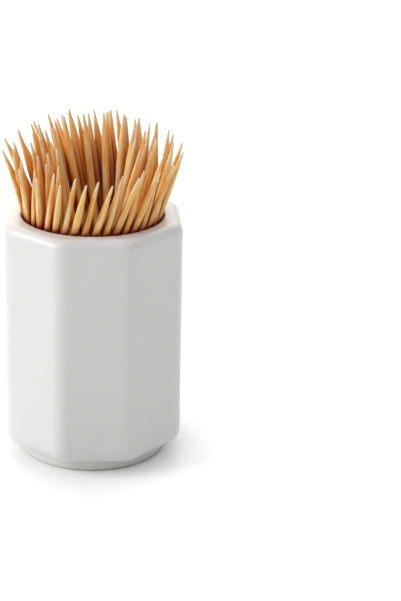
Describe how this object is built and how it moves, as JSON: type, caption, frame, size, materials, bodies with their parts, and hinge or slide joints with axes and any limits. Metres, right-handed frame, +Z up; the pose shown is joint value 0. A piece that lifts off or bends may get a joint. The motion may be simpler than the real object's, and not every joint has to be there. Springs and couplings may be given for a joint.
{
  "type": "toothpick holder",
  "caption": "Octagonal glazed ceramic toothpick holder on a round foot, with a round well filled by a twisted bunch of double-pointed wooden toothpicks that draw out.",
  "frame": {"origin": "on the table, at the middle of the round foot", "axes": "+Z up through the mouth of the well, -Y towards the viewer and square to one of the eight flats, +X to the viewer's right"},
  "size_m": [0.0409, 0.0413, 0.0775],
  "materials": {
    "cup_glaze": "gloss",
    "toothpick_wood": "satin"
  },
  "bodies": {
    "cup": {"cup": "cup_glaze"},
    "bunch": {"inner_picks": "toothpick_wood"},
    "outer_pick_01": {"outer_pick_01": "toothpick_wood"},
    "outer_pick_02": {"outer_pick_02": "toothpick_wood"},
    "outer_pick_03": {"outer_pick_03": "toothpick_wood"},
    "outer_pick_04": {"outer_pick_04": "toothpick_wood"},
    "outer_pick_05": {"outer_pick_05": "toothpick_wood"},
    "outer_pick_06": {"outer_pick_06": "toothpick_wood"},
    "outer_pick_07": {"outer_pick_07": "toothpick_wood"},
    "outer_pick_08": {"outer_pick_08": "toothpick_wood"},
    "outer_pick_09": {"outer_pick_09": "toothpick_wood"},
    "outer_pick_10": {"outer_pick_10": "toothpick_wood"},
    "outer_pick_11": {"outer_pick_11": "toothpick_wood"},
    "outer_pick_12": {"outer_pick_12": "toothpick_wood"},
    "outer_pick_13": {"outer_pick_13": "toothpick_wood"},
    "outer_pick_14": {"outer_pick_14": "toothpick_wood"},
    "outer_pick_15": {"outer_pick_15": "toothpick_wood"},
    "outer_pick_16": {"outer_pick_16": "toothpick_wood"},
    "outer_pick_17": {"outer_pick_17": "toothpick_wood"},
    "outer_pick_18": {"outer_pick_18": "toothpick_wood"},
    "outer_pick_19": {"outer_pick_19": "toothpick_wood"},
    "outer_pick_20": {"outer_pick_20": "toothpick_wood"},
    "outer_pick_21": {"outer_pick_21": "toothpick_wood"},
    "second_pick_01": {"second_pick_01": "toothpick_wood"},
    "second_pick_02": {"second_pick_02": "toothpick_wood"},
    "second_pick_03": {"second_pick_03": "toothpick_wood"},
    "second_pick_04": {"second_pick_04": "toothpick_wood"},
    "second_pick_05": {"second_pick_05": "toothpick_wood"},
    "second_pick_06": {"second_pick_06": "toothpick_wood"},
    "second_pick_07": {"second_pick_07": "toothpick_wood"},
    "second_pick_08": {"second_pick_08": "toothpick_wood"},
    "second_pick_09": {"second_pick_09": "toothpick_wood"},
    "second_pick_10": {"second_pick_10": "toothpick_wood"},
    "second_pick_11": {"second_pick_11": "toothpick_wood"},
    "second_pick_12": {"second_pick_12": "toothpick_wood"},
    "second_pick_13": {"second_pick_13": "toothpick_wood"},
    "second_pick_14": {"second_pick_14": "toothpick_wood"},
    "second_pick_15": {"second_pick_15": "toothpick_wood"},
    "second_pick_16": {"second_pick_16": "toothpick_wood"},
    "second_pick_17": {"second_pick_17": "toothpick_wood"},
    "second_pick_18": {"second_pick_18": "toothpick_wood"},
    "second_pick_19": {"second_pick_19": "toothpick_wood"},
    "second_pick_20": {"second_pick_20": "toothpick_wood"},
    "second_pick_21": {"second_pick_21": "toothpick_wood"},
    "third_pick_01": {"third_pick_01": "toothpick_wood"},
    "third_pick_02": {"third_pick_02": "toothpick_wood"},
    "third_pick_03": {"third_pick_03": "toothpick_wood"},
    "third_pick_04": {"third_pick_04": "toothpick_wood"},
    "third_pick_05": {"third_pick_05": "toothpick_wood"},
    "third_pick_06": {"third_pick_06": "toothpick_wood"},
    "third_pick_07": {"third_pick_07": "toothpick_wood"},
    "third_pick_08": {"third_pick_08": "toothpick_wood"},
    "third_pick_09": {"third_pick_09": "toothpick_wood"},
    "third_pick_10": {"third_pick_10": "toothpick_wood"},
    "third_pick_11": {"third_pick_11": "toothpick_wood"},
    "third_pick_12": {"third_pick_12": "toothpick_wood"},
    "third_pick_13": {"third_pick_13": "toothpick_wood"},
    "third_pick_14": {"third_pick_14": "toothpick_wood"},
    "third_pick_15": {"third_pick_15": "toothpick_wood"},
    "third_pick_16": {"third_pick_16": "toothpick_wood"}
  },
  "joints": [
    {"name": "bunch_lift", "type": "slide", "parent": "cup", "child": "bunch", "axis": [0, 0, 1], "range_m": [0, 0.05]},
    {"name": "outer_pick_01_draw", "type": "slide", "parent": "bunch", "child": "outer_pick_01", "axis": [-0.0366, 0.2832, 0.9584], "range_m": [0, 0.055]},
    {"name": "outer_pick_02_draw", "type": "slide", "parent": "bunch", "child": "outer_pick_02", "axis": [-0.1201, 0.2591, 0.9584], "range_m": [0, 0.055]},
    {"name": "outer_pick_03_draw", "type": "slide", "parent": "bunch", "child": "outer_pick_03", "axis": [-0.1903, 0.2129, 0.9584], "range_m": [0, 0.055]},
    {"name": "outer_pick_04_draw", "type": "slide", "parent": "bunch", "child": "outer_pick_04", "axis": [-0.2455, 0.1458, 0.9584], "range_m": [0, 0.055]},
    {"name": "outer_pick_05_draw", "type": "slide", "parent": "bunch", "child": "outer_pick_05", "axis": [-0.2773, 0.068, 0.9584], "range_m": [0, 0.055]},
    {"name": "outer_pick_06_draw", "type": "slide", "parent": "bunch", "child": "outer_pick_06", "axis": [-0.2851, -0.0156, 0.9584], "range_m": [0, 0.055]},
    {"name": "outer_pick_07_draw", "type": "slide", "parent": "bunch", "child": "outer_pick_07", "axis": [-0.2672, -0.1007, 0.9584], "range_m": [0, 0.055]},
    {"name": "outer_pick_08_draw", "type": "slide", "parent": "bunch", "child": "outer_pick_08", "axis": [-0.2264, -0.174, 0.9584], "range_m": [0, 0.055]},
    {"name": "outer_pick_09_draw", "type": "slide", "parent": "bunch", "child": "outer_pick_09", "axis": [-0.1659, -0.2324, 0.9584], "range_m": [0, 0.055]},
    {"name": "outer_pick_10_draw", "type": "slide", "parent": "bunch", "child": "outer_pick_10", "axis": [-0.0883, -0.2715, 0.9584], "range_m": [0, 0.055]},
    {"name": "outer_pick_11_draw", "type": "slide", "parent": "bunch", "child": "outer_pick_11", "axis": [-0.0055, -0.2855, 0.9584], "range_m": [0, 0.055]},
    {"name": "outer_pick_12_draw", "type": "slide", "parent": "bunch", "child": "outer_pick_12", "axis": [0.0807, -0.2739, 0.9584], "range_m": [0, 0.055]},
    {"name": "outer_pick_13_draw", "type": "slide", "parent": "bunch", "child": "outer_pick_13", "axis": [0.1569, -0.2386, 0.9584], "range_m": [0, 0.055]},
    {"name": "outer_pick_14_draw", "type": "slide", "parent": "bunch", "child": "outer_pick_14", "axis": [0.2195, -0.1826, 0.9584], "range_m": [0, 0.055]},
    {"name": "outer_pick_15_draw", "type": "slide", "parent": "bunch", "child": "outer_pick_15", "axis": [0.2643, -0.1081, 0.9584], "range_m": [0, 0.055]},
    {"name": "outer_pick_16_draw", "type": "slide", "parent": "bunch", "child": "outer_pick_16", "axis": [0.2843, -0.0265, 0.9584], "range_m": [0, 0.055]},
    {"name": "outer_pick_17_draw", "type": "slide", "parent": "bunch", "child": "outer_pick_17", "axis": [0.2791, 0.0602, 0.9584], "range_m": [0, 0.055]},
    {"name": "outer_pick_18_draw", "type": "slide", "parent": "bunch", "child": "outer_pick_18", "axis": [0.2495, 0.1388, 0.9584], "range_m": [0, 0.055]},
    {"name": "outer_pick_19_draw", "type": "slide", "parent": "bunch", "child": "outer_pick_19", "axis": [0.1983, 0.2054, 0.9584], "range_m": [0, 0.055]},
    {"name": "outer_pick_20_draw", "type": "slide", "parent": "bunch", "child": "outer_pick_20", "axis": [0.1273, 0.2556, 0.9584], "range_m": [0, 0.055]},
    {"name": "outer_pick_21_draw", "type": "slide", "parent": "bunch", "child": "outer_pick_21", "axis": [0.0475, 0.2816, 0.9584], "range_m": [0, 0.055]},
    {"name": "second_pick_01_draw", "type": "slide", "parent": "bunch", "child": "second_pick_01", "axis": [-0.1103, 0.3796, 0.9186], "range_m": [0, 0.055]},
    {"name": "second_pick_02_draw", "type": "slide", "parent": "bunch", "child": "second_pick_02", "axis": [-0.2159, 0.3311, 0.9186], "range_m": [0, 0.055]},
    {"name": "second_pick_03_draw", "type": "slide", "parent": "bunch", "child": "second_pick_03", "axis": [-0.3056, 0.2507, 0.9186], "range_m": [0, 0.055]},
    {"name": "second_pick_04_draw", "type": "slide", "parent": "bunch", "child": "second_pick_04", "axis": [-0.3653, 0.151, 0.9186], "range_m": [0, 0.055]},
    {"name": "second_pick_05_draw", "type": "slide", "parent": "bunch", "child": "second_pick_05", "axis": [-0.3934, 0.0382, 0.9186], "range_m": [0, 0.055]},
    {"name": "second_pick_06_draw", "type": "slide", "parent": "bunch", "child": "second_pick_06", "axis": [-0.3867, -0.082, 0.9186], "range_m": [0, 0.055]},
    {"name": "second_pick_07_draw", "type": "slide", "parent": "bunch", "child": "second_pick_07", "axis": [-0.3461, -0.1909, 0.9186], "range_m": [0, 0.055]},
    {"name": "second_pick_08_draw", "type": "slide", "parent": "bunch", "child": "second_pick_08", "axis": [-0.2726, -0.2862, 0.9186], "range_m": [0, 0.055]},
    {"name": "second_pick_09_draw", "type": "slide", "parent": "bunch", "child": "second_pick_09", "axis": [-0.1775, -0.3531, 0.9186], "range_m": [0, 0.055]},
    {"name": "second_pick_10_draw", "type": "slide", "parent": "bunch", "child": "second_pick_10", "axis": [-0.0671, -0.3895, 0.9186], "range_m": [0, 0.055]},
    {"name": "second_pick_11_draw", "type": "slide", "parent": "bunch", "child": "second_pick_11", "axis": [0.0532, -0.3917, 0.9186], "range_m": [0, 0.055]},
    {"name": "second_pick_12_draw", "type": "slide", "parent": "bunch", "child": "second_pick_12", "axis": [0.1649, -0.3592, 0.9186], "range_m": [0, 0.055]},
    {"name": "second_pick_13_draw", "type": "slide", "parent": "bunch", "child": "second_pick_13", "axis": [0.2653, -0.293, 0.9186], "range_m": [0, 0.055]},
    {"name": "second_pick_14_draw", "type": "slide", "parent": "bunch", "child": "second_pick_14", "axis": [0.3391, -0.2031, 0.9186], "range_m": [0, 0.055]},
    {"name": "second_pick_15_draw", "type": "slide", "parent": "bunch", "child": "second_pick_15", "axis": [0.3835, -0.0957, 0.9186], "range_m": [0, 0.055]},
    {"name": "second_pick_16_draw", "type": "slide", "parent": "bunch", "child": "second_pick_16", "axis": [0.3945, 0.0242, 0.9186], "range_m": [0, 0.055]},
    {"name": "second_pick_17_draw", "type": "slide", "parent": "bunch", "child": "second_pick_17", "axis": [0.3704, 0.1379, 0.9186], "range_m": [0, 0.055]},
    {"name": "second_pick_18_draw", "type": "slide", "parent": "bunch", "child": "second_pick_18", "axis": [0.3143, 0.2397, 0.9186], "range_m": [0, 0.055]},
    {"name": "second_pick_19_draw", "type": "slide", "parent": "bunch", "child": "second_pick_19", "axis": [0.2276, 0.3232, 0.9186], "range_m": [0, 0.055]},
    {"name": "second_pick_20_draw", "type": "slide", "parent": "bunch", "child": "second_pick_20", "axis": [0.1237, 0.3754, 0.9186], "range_m": [0, 0.055]},
    {"name": "second_pick_21_draw", "type": "slide", "parent": "bunch", "child": "second_pick_21", "axis": [0.005, 0.3952, 0.9186], "range_m": [0, 0.055]},
    {"name": "third_pick_01_draw", "type": "slide", "parent": "bunch", "child": "third_pick_01", "axis": [0.2491, 0.0708, 0.9659], "range_m": [0, 0.055]},
    {"name": "third_pick_02_draw", "type": "slide", "parent": "bunch", "child": "third_pick_02", "axis": [0.2212, 0.1348, 0.9659], "range_m": [0, 0.055]},
    {"name": "third_pick_03_draw", "type": "slide", "parent": "bunch", "child": "third_pick_03", "axis": [0.1798, 0.1865, 0.9659], "range_m": [0, 0.055]},
    {"name": "third_pick_04_draw", "type": "slide", "parent": "bunch", "child": "third_pick_04", "axis": [0.1266, 0.226, 0.9659], "range_m": [0, 0.055]},
    {"name": "third_pick_05_draw", "type": "slide", "parent": "bunch", "child": "third_pick_05", "axis": [0.0616, 0.2516, 0.9659], "range_m": [0, 0.055]},
    {"name": "third_pick_06_draw", "type": "slide", "parent": "bunch", "child": "third_pick_06", "axis": [-0.0042, 0.259, 0.9659], "range_m": [0, 0.055]},
    {"name": "third_pick_07_draw", "type": "slide", "parent": "bunch", "child": "third_pick_07", "axis": [-0.0697, 0.2494, 0.9659], "range_m": [0, 0.055]},
    {"name": "third_pick_08_draw", "type": "slide", "parent": "bunch", "child": "third_pick_08", "axis": [-0.1339, 0.2217, 0.9659], "range_m": [0, 0.055]},
    {"name": "third_pick_09_draw", "type": "slide", "parent": "bunch", "child": "third_pick_09", "axis": [-0.1857, 0.1805, 0.9659], "range_m": [0, 0.055]},
    {"name": "third_pick_10_draw", "type": "slide", "parent": "bunch", "child": "third_pick_10", "axis": [-0.2272, 0.1243, 0.9659], "range_m": [0, 0.055]},
    {"name": "third_pick_11_draw", "type": "slide", "parent": "bunch", "child": "third_pick_11", "axis": [-0.2513, 0.0626, 0.9659], "range_m": [0, 0.055]},
    {"name": "third_pick_12_draw", "type": "slide", "parent": "bunch", "child": "third_pick_12", "axis": [-0.259, -0.0031, 0.9659], "range_m": [0, 0.055]},
    {"name": "third_pick_13_draw", "type": "slide", "parent": "bunch", "child": "third_pick_13", "axis": [-0.2487, -0.0723, 0.9659], "range_m": [0, 0.055]},
    {"name": "third_pick_14_draw", "type": "slide", "parent": "bunch", "child": "third_pick_14", "axis": [-0.2223, -0.133, 0.9659], "range_m": [0, 0.055]},
    {"name": "third_pick_15_draw", "type": "slide", "parent": "bunch", "child": "third_pick_15", "axis": [-0.1786, -0.1875, 0.9659], "range_m": [0, 0.055]},
    {"name": "third_pick_16_draw", "type": "slide", "parent": "bunch", "child": "third_pick_16", "axis": [-0.1253, -0.2267, 0.9659], "range_m": [0, 0.055]}
  ]
}
